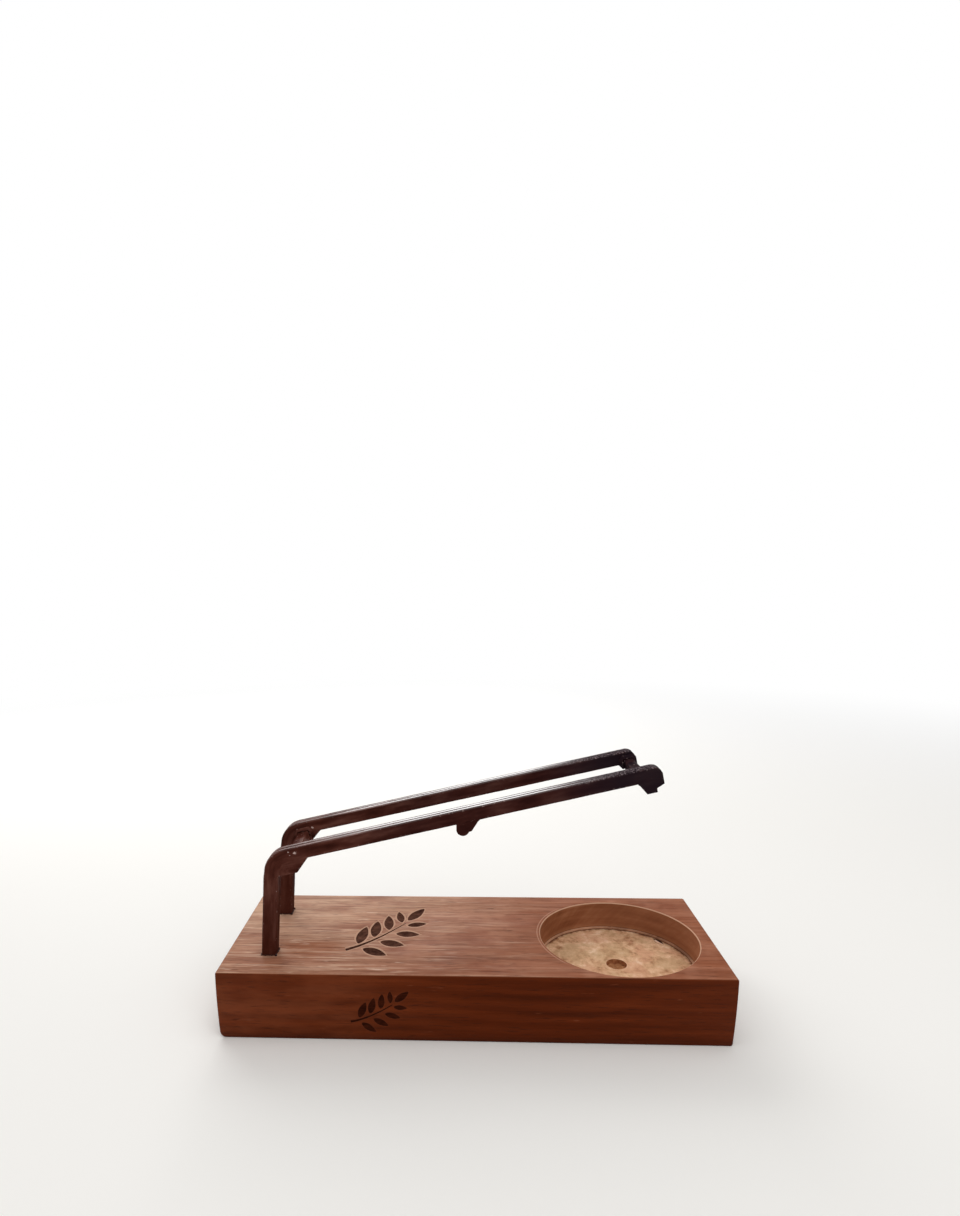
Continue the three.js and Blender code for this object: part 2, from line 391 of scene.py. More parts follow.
def front_webs(y, thickness):
    """The corner of the bend, filled with weld, and the lump under the tip."""
    bar_foot = underside + bend_bar.height
    right = bend_bar.at + bend_bar.width / 2
    start = bend_bar.at - bend_inner_radius - mm
    end = right + bend_weld_leg + front_web_end
    foot = (right + front_web_foot, bar_foot)
    bend_web = web(front, y, start, end, thickness, (end, half_bar), foot)
    left = tip_bar.at - tip_bar.width / 2
    right = tip_bar.at + tip_bar.width / 2
    bar_foot = underside + tip_bar.height
    start = left - tip_weld_leg
    tip_web = web(front, y, start, right, thickness, (start, half_bar), (left, bar_foot))
    end_web = web(
        front, y, tip_bar.at, front_length, thickness,
        (front_length, underside + end_weld_high), (right, underside + end_weld_low),
    )
    return [bend_web, tip_web, end_web]


def rear_webs(y, thickness):
    """The same on the rear arm, where the lump under the tip is shallow."""
    start = rear.tangent - bend_inner_radius - mm
    high = (rear_web_end, half_bar)
    bend_web = web(rear, y, start, rear_web_end, thickness, high, rear_web_foot)
    start = rear_length - rear_lump_length
    foot = (start + rear_lump_rise, rear_lump_depth)
    tip_web = web(rear, y, start, rear_length, thickness, (start, half_bar), foot)
    return [bend_web, tip_web]


def fused(pieces, name, voxel, rounds):
    """Melts overlapping pieces into one skin with softly rounded edges."""
    piece = join(pieces, name)
    apply(piece, "REMESH", mode="VOXEL", voxel_size=voxel)
    apply(piece, "SMOOTH", factor=0.5, iterations=rounds)
    return piece


# Arms: one bar each, from the tenon up the post, round the bend and along the rail to the nose

def bent_arm(name, node, line, length, y, webs):
    rail_length = length - line.tangent
    painted_side = bar_side + 2 * paint_build
    piece = section(name, at_y(line.foot, y), line.up, painted_side * post_swell)
    step = 2.5 * mm
    draw_out(line.up * line.post_length, round(line.post_length / step))
    swell(1 / post_swell, at_y(line.foot + line.up * line.post_length, y))
    bend_steps = 14
    for _ in range(bend_steps):
        bpy.ops.mesh.extrude_region()
        bpy.ops.transform.rotate(
            value=-line.turn / bend_steps, orient_axis="Y", center_override=at_y(line.centre, y)
        )
    draw_out(line.out * rail_length, round(rail_length / step))
    nose_steps = 7
    tip = line.corner + line.out * length
    nose_centre = tip - line.out * nose_round + line.under * (nose_round - painted_side / 2)
    for i in range(nose_steps):
        angle = (i + 0.5) / nose_steps * math.pi / 2
        normal = line.out * math.cos(angle) - line.under * math.sin(angle)
        grind(at_y(nose_centre + normal * nose_round, y), normal)
    done()
    soften(piece, bar_round)
    piece = fused([piece] + webs(y, painted_side), name, voxel=0.26 * mm, rounds=2)
    mark_edges(piece)
    store_place(piece, place_on_arm(line))
    roughen(piece, size=14 * mm, depth=0.14 * mm)
    roughen(piece, size=2.2 * mm, depth=0.05 * mm)
    for vertex in piece.data.vertices:
        vertex.co.z = min(vertex.co.z, cad_bounds[1][2])
    smooth(piece)
    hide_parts(node)
    return piece


front_arm = bent_arm("front_arm_bar", "front_arm", front, front_length, front_y, front_webs)
rear_arm = bent_arm("rear_arm_bar", "rear_arm", rear, rear_length, rear_y, rear_webs)


# Cross bars: short bars from just behind the front arm's front face to the other arm

def cross_bar(name, node, bar):
    start_y = front_y - half_bar + weld_proud
    end_y = rear_y - half_bar
    bpy.ops.mesh.primitive_plane_add(
        size=1, location=rack_point(bar.at, underside + bar.height / 2, start_y),
        rotation=(math.pi / 2, -arm_slope, 0),
    )
    bpy.context.object.scale = (bar.width, bar.height, 1)
    piece = named(name)
    edit(piece)
    askew = -bar.setback / arm_spacing
    draw_out(Vector((askew, 1, 0)) * (end_y - start_y), steps=14)
    done()
    soften(piece, bar_round)
    mark_edges(piece)
    apply(piece, "SUBSURF", subdivision_type="SIMPLE", levels=1, render_levels=1)
    store_place(piece, place_on_cross_bar)
    roughen(piece, size=5 * mm, depth=0.1 * mm, shift=0.3)
    smooth(piece)
    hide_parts(node)
    return piece


bend_bar_piece = cross_bar("bend_bar", "bend_cross_bar", bend_bar)
tip_bar_piece = cross_bar("tip_bar", "tip_cross_bar", tip_bar)


# Middle lug: a tongue with a round lower end

def lug():
    centre = rack_point(lug_at, half_bar, front_y)
    half = lug_width / 2
    round_z = centre.z - lug_drop + half
    bpy.ops.mesh.primitive_cylinder_add(
        vertices=40, radius=half, depth=lug_thickness, location=(centre.x, front_y, round_z),
        rotation=(math.pi / 2, 0, 0),
    )
    piece = named("lug_tongue")
    edit(piece)
    grind(Vector((0, 0, round_z)), Vector((0, 0, 1)))
    pick("FACE", lambda c: c.z > round_z - hair)
    draw_out(Vector((0, 0, lug_drop - half)), steps=4)
    done()
    fillet_end = lug_at + half + lug_weld_reach
    fillet_foot = half_bar + lug_drop - half / 2
    fillet = web(
        front, front_y, lug_at, fillet_end, lug_thickness,
        (fillet_end, half_bar), (lug_at + half, fillet_foot),
    )
    piece = fused([piece, fillet], "lug_tongue", voxel=0.25 * mm, rounds=4)
    mark_edges(piece)
    store_place(piece, place_on_arm(front))
    roughen(piece, size=2.5 * mm, depth=0.12 * mm)
    smooth(piece)
    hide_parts("middle_lug")
    return piece


lug_piece = lug()


# Welds: the bead's own solid, with drops run along it, melted together

def melted(name, node, drops, slim, kept_y):
    """A weld: a copy of the bead's solid, slimmed towards kept_y, and its drops."""
    bead = in_scene(name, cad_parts[node].data.copy())
    edit(bead)
    bpy.ops.mesh.remove_doubles(threshold=hair)
    bpy.ops.transform.resize(value=(1, slim, 1), center_override=(0, kept_y, 0))
    done()
    pieces = [bead]
    for place, radius in drops:
        bpy.ops.mesh.primitive_ico_sphere_add(subdivisions=3, radius=radius, location=place)
        pieces.append(named("drop"))
    piece = fused(pieces, name, voxel=0.24 * mm, rounds=4)
    store_place(piece, place_on_arm(front))
    roughen(piece, size=1.6 * mm, depth=0.14 * mm)
    mark_edges(piece, full_angle=60 * degree)
    only(piece)
    bpy.ops.object.shade_smooth()
    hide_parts(node)
    return piece


def run_of_drops(start, end, count, radius, wander, seed):
    """Places for drops along a line, each a little off it and of its own size."""
    hand = random.Random(seed)
    drops = []
    for i in range(count):
        place = start.lerp(end, i / max(1, count - 1))
        place = place + Vector([hand.uniform(-wander, wander) for _ in range(3)])
        drops.append((place, radius * hand.uniform(0.8, 1.15)))
    return drops


def welds():
    near = front_y - half_bar + 1.4 * mm
    far = front_y + half_bar - 1.2 * mm
    collar_y = rear_y - half_bar - 0.7 * mm
    made = []
    for name, node, distance, below, seed in (
        ("bend_bead_front", "bend_weld_front", bend_bar.at + 4.4 * mm, half_bar + 1.6 * mm, 3),
        ("tip_bead_front", "tip_weld_front", tip_bar.at - 2.7 * mm, half_bar + 0.9 * mm, 5),
        ("tip_bead_end", "tip_weld_end", front_length - 1.5 * mm, half_bar + 1.3 * mm, 6),
        ("lug_bead", "lug_weld", lug_at + 3.4 * mm, half_bar + 0.6 * mm, 7),
    ):
        drops = run_of_drops(
            rack_point(distance, below, near), rack_point(distance, below, far),
            count=4, radius=0.9 * mm, wander=0.15 * mm, seed=seed,
        )
        made.append(melted(name, node, drops, slim=0.88, kept_y=front_y))
    for name, node, bar, seed in (
        ("bend_bead_rear", "bend_weld_rear", bend_bar, 11),
        ("tip_bead_rear", "tip_weld_rear", tip_bar, 13),
    ):
        drops = []
        for side in (-1, 1):
            distance = bar.at + side * (bar.width / 2 + 0.4 * mm) - bar.setback
            drops += run_of_drops(
                rack_point(distance, half_bar, collar_y),
                rack_point(distance, half_bar + bar.height - 0.8 * mm, collar_y),
                count=4, radius=0.6 * mm, wander=0.12 * mm, seed=seed + side,
            )
        made.append(melted(name, node, drops, slim=0.75, kept_y=rear_y - half_bar))
    return made


weld_pieces = welds()


# Glue squeezed out round the foot of each post

def squeeze_out(name, line, y, seed):
    hand = random.Random(seed)
    reach = half_bar + 0.35 * mm
    corners = [Vector((a * reach, b * reach, 0)) for a, b in ((-1, -1), (1, -1), (1, 1), (-1, 1))]
    pieces = []
    per_side = 7
    for side in range(4):
        for i in range(per_side):
            place = corners[side].lerp(corners[(side + 1) % 4], i / per_side)
            place += Vector((line.through_top.x, y, top + hand.uniform(-0.15, 0.1) * mm))
            place += Vector((hand.uniform(-0.15, 0.15) * mm, hand.uniform(-0.15, 0.15) * mm, 0))
            radius = hand.uniform(0.4, 0.65) * mm
            bpy.ops.mesh.primitive_ico_sphere_add(subdivisions=2, radius=radius, location=place)
            pieces.append(named("blob"))
    piece = fused(pieces, name, voxel=0.22 * mm, rounds=5)
    only(piece)
    bpy.ops.object.shade_smooth()
    return piece


glue_rings = [
    squeeze_out("front_post_squeeze_out", front, front_y, 21),
    squeeze_out("rear_post_squeeze_out", rear, rear_y, 22),
]


# Wood block

def bowl_tool():
    """The shape of the ash bowl: rim break, wall, step, floor and dimple."""
    above = 1 * mm
    wall_foot = bowl_floor + step_height
    bpy.ops.mesh.primitive_cylinder_add(
        vertices=160, radius=bowl_radius, depth=top + above - wall_foot,
        location=(bowl_x, bowl_y, (top + above + wall_foot) / 2),
    )
    tool = named("bowl_tool")
    centre = Vector((bowl_x, bowl_y, 0))
    down = Vector((0, 0, -1))
    edit(tool)
    ring_at(top - rim_break)
    ring_at(top)
    pick("VERT", lambda c: c.z > top - hair)
    flare = (bowl_radius + rim_break) / bowl_radius
    bpy.ops.transform.resize(value=(flare, flare, 1), center_override=centre)
    pick("FACE", lambda c: c.z < wall_foot + hair)
    draw_out(down * step_width)
    inwards = (bowl_radius - step_width) / bowl_radius
    bpy.ops.transform.resize(value=(inwards, inwards, 1), center_override=centre)
    draw_out(down * (step_height - step_width))
    bpy.ops.mesh.inset(thickness=bowl_radius - step_width - dimple_radius)
    draw_out(down * dimple_depth)
    draw_out(down * dimple_point)
    bpy.ops.mesh.merge(type="CENTER")
    done()
    return tool


def post_hole(line, y):
    """The leaning hole for a post, from a little below its foot to above the block."""
    side = 2 * (half_bar + seat_gap + 0.1 * mm)
    below = 2 * mm
    above = 4 * mm
    tool = section("post_hole", at_y(line.foot - line.up * below, y), line.up, side)
    draw_out(line.up * (below + tenon + above))
    done()
    return tool


def leaf(length, width, depth):
    """A pointed leaf lying along X from the origin: the shape of one chip cut."""
    bpy.ops.mesh.primitive_circle_add(
        vertices=12, radius=1, fill_type="NGON", rotation=(0, math.pi / 2, 0)
    )
    tool = named("leaf")
    steps = 10
    least = 0.02
    edit(tool)
    swell(least * width, (0, 0, 0))
    last = least
    for i in range(1, steps + 1):
        draw_out(Vector((length / steps, 0, 0)))
        share = i / steps
        size = max(least, math.sin(math.pi * share ** 0.85) ** 0.9 / 2)
        swell(size / last, (length * share, 0, 0))
        last = size
    done()
    tool.data.transform(Matrix.Diagonal((1, 1, 2 * depth / width, 1)))
    return tool


def stem(points, width, depth):
    """A tapering groove along a curve through the points."""
    line = bpy.data.curves.new("stem", "CURVE")
    line.dimensions = "3D"
    line.bevel_depth = width / 2
    line.bevel_resolution = 3
    line.use_fill_caps = True
    spline = line.splines.new("NURBS")
    spline.points.add(len(points) - 1)
    for i, place in enumerate(points):
        spline.points[i].co = (*place, 0, 1)
        spline.points[i].radius = 1 - 0.65 * i / (len(points) - 1)
    spline.use_endpoint_u = True
    spline.resolution_u = 10
    piece = in_scene("stem", line)
    only(piece)
    bpy.ops.object.convert(target="MESH")
    piece.data.transform(Matrix.Diagonal((1, 1, 2 * depth / width, 1)))
    return piece


def sprig(name, scale, depth, ledge):
    """A carved sprig about 40 mm long at scale 1: a curved stem, paired leaves and an end leaf.
    A ledge makes every cut wider by that much on each side."""
    pieces = [stem([(-19, -9), (-10, -7.5), (0, -2), (9, 4)], 1.7 + 2 * ledge, 1)]
    leaves = (
        (-13.5, -6.4, 68, 13.5), (-12.0, -9.6, -36, 12.5), (-6.2, -3.3, 76, 13.0),
        (-4.2, -6.6, -27, 12.0), (1.0, 0.4, 84, 12.0), (3.4, -2.6, -17, 11.5), (7.6, 4.8, 92, 9.5),
        (9.4, 2.2, -4, 9.5), (10.2, 5.8, 40, 13.0),
    )
    for x, y, turn, length in leaves:
        piece = leaf(length + 2 * ledge, 0.38 * length + 2 * ledge, 1)
        lie = Matrix.Rotation(turn * degree, 4, "Z") @ Matrix.Translation((-ledge, 0, 0))
        piece.data.transform(Matrix.Translation((x, y, 0)) @ lie)
        pieces.append(piece)
    tool = join(pieces, name)
    tool.data.transform(Matrix.Diagonal((scale * mm, scale * mm, depth, 1)))
    edit(tool)
    done()
    return tool


def wood_block():
    centre = (block_low + block_high) / 2
    size = block_high - block_low
    bpy.ops.mesh.primitive_cube_add(
        size=1, location=centre, scale=(size.x - 2 * end_bow, size.y, size.z)
    )
    piece = named("wood_block")
    edit(piece)
    steps = 6
    for i in range(1, steps):
        ring_at(top * i / steps)
    for i in range(1, steps):
        height = top * i / steps
        share = 1 - (2 * i / steps - 1) ** 2
        for side in (-1, 1):
            pick("VERT", lambda c: side * c.x > 0 and abs(c.z - height) < hair)
            bpy.ops.transform.translate(value=(side * end_bow * share, 0, 0))
    for side, height, offset in (
        (-1, 0, worn_corner), (1, 0, end_corner), (-1, top, end_corner), (1, top, end_corner)
    ):
        pick("EDGE", lambda c: (
            side * c.x > 0.4 * size.x and abs(c.z - height) < hair and abs(c.y) < mm
        ))
        bpy.ops.mesh.bevel(offset=offset, segments=5, affect="EDGES")
    done()
    soften(piece, block_edge)
    cut(piece, bowl_tool())
    gouge = leaf(gouge_length, gouge_width, gouge_depth)
    gouge.data.transform(Matrix.Translation(gouge_at) @ Matrix.Rotation(gouge_turn, 4, "Z"))
    cut(piece, gouge)
    cut(piece, post_hole(front, front_y))
    cut(piece, post_hole(rear, rear_y))
    stretch = Matrix.Diagonal((1, top_carving_stretch, 1, 1))
    on_top = Matrix.Translation((carving_x, 0, top)) @ stretch
    on_top = on_top @ Matrix.Rotation(top_carving_turn, 4, "Z")
    on_front = Matrix.Translation((carving_x, front_face, front_carving_z))
    on_front = on_front @ Matrix.Rotation(math.pi / 2, 4, "X")
    for ledge, share in ((carving_ledge, ledge_share), (0, 1)):
        for name, scale, depth, lie in (
            ("top_carving", 1, top_carving_depth, on_top),
            ("front_carving", front_carving_scale, front_carving_depth, on_front),
        ):
            carving = sprig(name, scale, depth * share, ledge)
            carving.data.transform(lie)
            cut(piece, carving, overlaps=True)
    smooth(piece, 30 * degree)
    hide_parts("base_block")
    return piece


block = wood_block()


# Materials

def srgb(red, green, blue):
    """A colour given as it looks on a screen, 0 to 255, as the linear colour that nodes take."""
    def linear(value):
        value /= 255
        return value / 12.92 if value <= 0.04045 else ((value + 0.055) / 1.055) ** 2.4
    return (linear(red), linear(green), linear(blue), 1)


class Value:
    """A number, place or colour inside a material. Numbers take +, - and * as usual."""

    def __init__(self, tree, socket):
        self.tree = tree
        self.socket = socket

    def __add__(self, other):
        return maths("ADD", self, other)

    def __sub__(self, other):
        return maths("SUBTRACT", self, other)

    def __rsub__(self, other):
        return maths("SUBTRACT", other, self)

    def __mul__(self, other):
        return maths("MULTIPLY", self, other)

    def __abs__(self):
        return maths("ABSOLUTE", self)


def node(tree, kind, inputs=None, **settings):
    made = tree.nodes.new("ShaderNode" + kind)
    for key, value in settings.items():
        setattr(made, key, value)
    for key, value in (inputs or {}).items():
        if isinstance(value, Value):
            tree.links.new(value.socket, made.inputs[key])
        else:
            made.inputs[key].default_value = value
    return made


def result(kind, inputs, output=0, **settings):
    """What a new node makes of its inputs, at least one of which is a Value."""
    tree = next(value.tree for value in inputs.values() if isinstance(value, Value))
    return Value(tree, node(tree, kind, inputs, **settings).outputs[output])


def maths(operation, *values, clamp=False):
    return result("Math", dict(enumerate(values)), operation=operation, use_clamp=clamp)


def length_of(across, along):
    return maths("SQRT", maths("POWER", across, 2) + maths("POWER", along, 2))


def away_from(spot, point):
    return result("VectorMath", {0: spot, 1: point}, "Value", operation="DISTANCE")


def axes_of(vector):
    """The X, Y and Z of a place."""
    outputs = node(vector.tree, "SeparateXYZ", {0: vector}).outputs
    return [Value(vector.tree, output) for output in outputs]


def place(vector, scale, location=(0, 0, 0)):
    return result("Mapping", {"Vector": vector, "Scale": scale, "Location": location})


def noise(vector, scale, detail=3, roughness=0.6, shift=(0, 0, 0)):
    """Noise with so many waves to the metre, or so many along each axis."""
    if isinstance(scale, tuple):
        vector = place(vector, scale, shift)
        scale = 1
    inputs = {"Vector": vector, "Scale": scale, "Detail": detail, "Roughness": roughness}
    return result("TexNoise", inputs, "Fac")


def band(value, low, high, start=0, end=1):
    """Brings a value from low..high to start..end, smoothly."""
    inputs = {"Value": value, 1: low, 2: high, 3: start, 4: end}
    return result("MapRange", inputs, interpolation_type="SMOOTHSTEP")


def blend(factor, one, other, kind="MIX"):
    return result("Mix", {0: factor, 6: one, 7: other}, 2, data_type="RGBA", blend_type=kind)


def layered(colour, *layers):
    """Lays screen colours over a colour in turn, each as far as the mask before it says."""
    for mask, *shade in layers:
        colour = blend(mask, colour, srgb(*shade))
    return colour


def ramp(value, *stops):
    """Turns a value into a colour. Each stop is a position and a screen colour there, or a
    linear one with its alpha."""
    made = result("ValToRGB", {"Fac": value})
    elements = made.socket.node.color_ramp.elements
    while len(elements) < len(stops):
        elements.new(0.5)
    for element, (position, *shade) in zip(elements, stops):
        element.position = position
        element.color = shade if len(shade) == 4 else srgb(*shade)
    return made


def bump(height, strength, distance, **under):
    return result("Bump", {"Height": height, "Strength": strength, "Distance": distance, **under})


def new_group(name, make, *numbers):
    """A shader node group that takes a Vector and named numbers. It puts out the numbers that
    make works out from them, each under its own name."""
    group = bpy.data.node_groups.new(name, "ShaderNodeTree")
    group.interface.new_socket("Vector", in_out="INPUT", socket_type="NodeSocketVector")
    for label in numbers:
        group.interface.new_socket(label, in_out="INPUT", socket_type="NodeSocketFloat")
    given = group.nodes.new("NodeGroupInput").outputs
    values = make(*[Value(group, given[label]) for label in ("Vector", *numbers)])
    for label in values:
        group.interface.new_socket(label, in_out="OUTPUT", socket_type="NodeSocketFloat")
    taken = group.nodes.new("NodeGroupOutput").inputs
    for label, value in values.items():
        group.links.new(value.socket, taken[label])
    return group


def use(group, spot, **inputs):
    """The outputs of a group, by name."""
    inputs = {key.replace("_", " ").capitalize(): value for key, value in inputs.items()}
    made = node(spot.tree, "Group", {"Vector": spot, **inputs}, node_tree=group)
    return {socket.name: Value(spot.tree, socket) for socket in made.outputs}


def new_material(name, **values):
    """A material with fixed values on its Principled shader, and the object's own coordinates."""
    material = bpy.data.materials.new(name)
    material.use_nodes = True
    tree = material.node_tree
    for key, value in values.items():
        tree.nodes["Principled BSDF"].inputs[key.replace("_", " ")].default_value = value
    return material, Value(tree, node(tree, "TexCoord").outputs["Object"])


def feed(material, **values):
    """Links values to a material's Principled shader, and returns the material."""
    tree = material.node_tree
    for key, value in values.items():
        tree.links.new(value.socket, tree.nodes["Principled BSDF"].inputs[key.replace("_", " ")])
    return material


def wood_grain(spot):
    """Grain of a log whose heart lies beside and below the block, along X."""
    heart_y = 26 * mm
    heart_z = -85 * mm
    ring_spacing = 5.5 * mm
    wander = (noise(spot, (9, 30, 30), 2, 0.5) - 0.5) * (16 * mm)
    _, y, z = axes_of(spot)
    reach = length_of(y - heart_y, z - heart_z) + wander
    rings = maths("SINE", reach * (2 * math.pi / ring_spacing)) * 0.5 + 0.5
    pores = noise(spot, (150, 2300, 2300), 1, 0.5, (3, 1, 2))
    return {
        "Rings": rings,
        "Streaks": noise(spot, (11, 210, 210), 4),
        "Fibres": noise(spot, (55, 1500, 1500)),
        "Pores": band(pores, 0.62, 0.72),
    }


def fine_dust(spot, grain_size, cover):
    """Fine dust: pale grains and soft patches."""
    grains = noise(spot, maths("DIVIDE", 1, grain_size * mm), 2)
    grains = grains - (1 - cover * 0.6) * 0.8
    return {
        "Grains": maths("MULTIPLY", grains, 6, clamp=True),
        "Patches": band(noise(spot, 120, 4, 0.65), 0.35, 0.7),
    }


def edge_wear(spot, edge, amount):
    """Wear of paint along edges: patches of thinned paint, and small chips down to the metal."""
    wear_and_sheen = edge * band(noise(spot, 260, 4), 0.42, 0.68)
    chips = edge * band(noise(spot, 900), 0.62, 0.7)
    return {
        "Worn": maths("MULTIPLY", wear_and_sheen, amount, clamp=True),
        "Chips": maths("MULTIPLY", chips, amount, clamp=True),
    }


grain = new_group("wood_grain", wood_grain)
dust = new_group("fine_dust", fine_dust, "Grain size", "Cover")
wear = new_group("edge_wear", edge_wear, "Edge", "Amount")


def fibred(figure, colour, strength, dark, light):
    """Darkens and lightens a wood colour along its fine fibres."""
    tone = ramp(figure["Fibres"], (0.3, *dark, 1), (0.7, light, light, light, 1))
    return blend(strength, colour, tone, "MULTIPLY")


def near_post(x, y, inner, outer):
    """1 close to the foot of either post, 0 away from it."""
    from_front = length_of(x - front.through_top.x, y - front_y)
    from_rear = length_of(x - rear.through_top.x, y - rear_y)
    return band(maths("MINIMUM", from_front, from_rear), inner, outer, 1, 0)


def towards_posts(x, start, end):
    """Goes from start near the bowl's middle to end near the posts."""
    return band(x, 20 * mm, -60 * mm, start, end)


def oiled_and_shaded_side():
    """The oiled front, back and ends: dark red-brown, darker than the top partly as painted shade.
    Painted light makes them paler and browner towards the post end, a painted highlight runs
    along their top edge, and painted shade along their foot.
    """
    material, spot = new_material(
        "oiled_and_shaded_side", Specular_IOR_Level=0.15, Specular_Tint=(1, 0.4, 0.2, 1), Roughness=0.5
    )
    figure = use(grain, spot)
    x, _, z = axes_of(spot)
    tone = figure["Rings"] * 0.14 + 0.05 + figure["Streaks"] * 0.72
    colour = ramp(tone, (0.3, 68, 22, 5), (0.45, 82, 29, 7), (0.6, 94, 36, 11), (0.75, 112, 48, 21))
    colour = fibred(figure, colour, 0.45, (0.7, 0.66, 0.62), 1.2)
    cloud = noise(spot, (22, 60, 90))
    # Painted light: paler and browner towards the post end, in patches.
    wear_and_sheen = band(x, 5 * mm, -75 * mm) * band(cloud, 0.35, 0.65, 0.12, 0.62)
    scratch = noise(spot, (90, 400, 420), 2, 0.5, (7, 2, 5))
    # Painted highlight along the top edge of the sides, stronger towards the posts.
    upper = towards_posts(x, 0.25, 0.8) * band(z, top - 0.45 * mm, top - 0.1 * mm)
    colour = layered(
        colour,
        (wear_and_sheen, 126, 64, 38),
        (figure["Pores"] * 0.5, 46, 15, 7),
        (band(scratch, 0.68, 0.76, 0, 0.45), 132, 74, 52),
        (upper, 170, 118, 92),
        # Painted shade along the foot of the sides.
        (band(z, 0.3 * mm, 3.5 * mm, 0.5, 0), 44, 14, 7),
    )
    height = figure["Fibres"] * 0.6 - figure["Pores"]
    return feed(material, Base_Color=colour, Normal=bump(height, 0.4, 0.1 * mm))


def sanded_and_lit_top():
    """The sanded top: warm brown, paler than the sides partly as painted light, with a painted
    sheen towards the left and the back and a painted highlight along the front edge; dustier
    towards the posts, redder by the bowl.
    """
    material, spot = new_material("sanded_and_lit_top", Specular_IOR_Level=0.03)
    figure = use(grain, spot)
    specks = use(dust, spot, grain_size=0.45, cover=0.4)
    x, y, _ = axes_of(spot)
    tone = figure["Rings"] * 0.1 + 0.06 + figure["Streaks"] * 0.74
    colour = ramp(
        tone, (0.28, 120, 64, 41), (0.45, 144, 86, 60), (0.6, 162, 105, 79), (0.78, 188, 138, 110)
    )
    colour = fibred(figure, colour, 0.6, (0.74, 0.7, 0.68), 1.18)
    # left and back shape a painted sheen, paler towards the left and the back.
    left = band(x, 66 * mm, -95 * mm)
    back = band(y, -38 * mm, 26 * mm, 0.3, 1)
    cloud = noise(spot, (30, 60, 38), 4)
    mellow = noise(spot, (48, 34, 30), shift=(1, 7, 2))
    rust = noise(spot, (34, 50, 44), 3, 0.55, (4, 4, 4))
    warm = away_from(place(spot, (0.6, 1, 1)), (-42 * mm, -17 * mm, top))
    warm = band(warm, 14 * mm, 4 * mm) * band(cloud, 0.35, 0.6, 0.4, 0.8)
    # Pale patches of painted sheen, stronger towards the left.
    wear_and_sheen = band(noise(spot, (20, 230, 230), shift=(2, 6, 1)), 0.5, 0.7)
    dark = noise(spot, (16, 190, 190), 4, shift=(8, 3, 1))
    fine_dark = noise(spot, (40, 640, 640), shift=(6, 9, 2))
    fine_pale = noise(spot, (46, 760, 760), shift=(2, 5, 9))
    # Pale flecks of painted sheen, mostly towards the left.
    flecks = band(noise(spot, (110, 520, 520), 2, 0.55, (5, 2, 1)), 0.62, 0.76)
    flecks = flecks * band(cloud, 0.5, 0.62, 0.05, 1) * band(x, 20 * mm, -20 * mm, 0.1, 0.8)
    scuffed = near_post(x, y, 3.4 * mm, 8 * mm) * specks["Grains"]
    across = x - bowl_x
    first_cut = abs(length_of(across, y - bowl_y) - (bowl_radius + 1.35 * mm))
    first_cut = band(first_cut, 0.35 * mm, 0.1 * mm) * band(across, -20 * mm, -28 * mm, 0, 0.5)
    # A painted highlight along the front edge of the top, in dust patches, stronger towards the
    # posts.
    rim = specks["Patches"] * band(y, front_face + 2 * mm, front_face)
    colour = layered(
        colour,
        (left * back * band(cloud, 0.34, 0.6, 0.3, 1), 202, 162, 135),
        (band(mellow, 0.45, 0.7, 0, 0.45), 184, 130, 104),
        (band(rust, 0.52, 0.7, 0, 0.55), 128, 68, 45),
        (warm, 150, 90, 60),
        (wear_and_sheen * band(x, 50 * mm, -50 * mm, 0.12, 0.65), 208, 166, 140),
        (band(dark, 0.52, 0.72, 0, 0.38), 112, 62, 43),
        (band(fine_dark, 0.54, 0.68, 0, 0.5), 104, 58, 40),
        # Pale fine streaks, brightened towards the left as painted sheen.
        (band(fine_pale, 0.54, 0.68, 0, 0.6) * left, 222, 186, 160),
        (flecks, 222, 190, 168),
        (scuffed * 0.65, 206, 174, 146),
        (figure["Pores"] * 0.6, 74, 36, 24),
        (first_cut * band(rust, 0.35, 0.55), 198, 152, 126),
        (rim * towards_posts(x, 0.1, 0.6), 200, 154, 128),
    )
    height = figure["Fibres"] * 0.6 - figure["Pores"]
    rough = band(cloud, 0.3, 0.7, 0.42, 0.62)
    return feed(material, Base_Color=colour, Roughness=rough, Normal=bump(height, 0.35, 0.1 * mm))


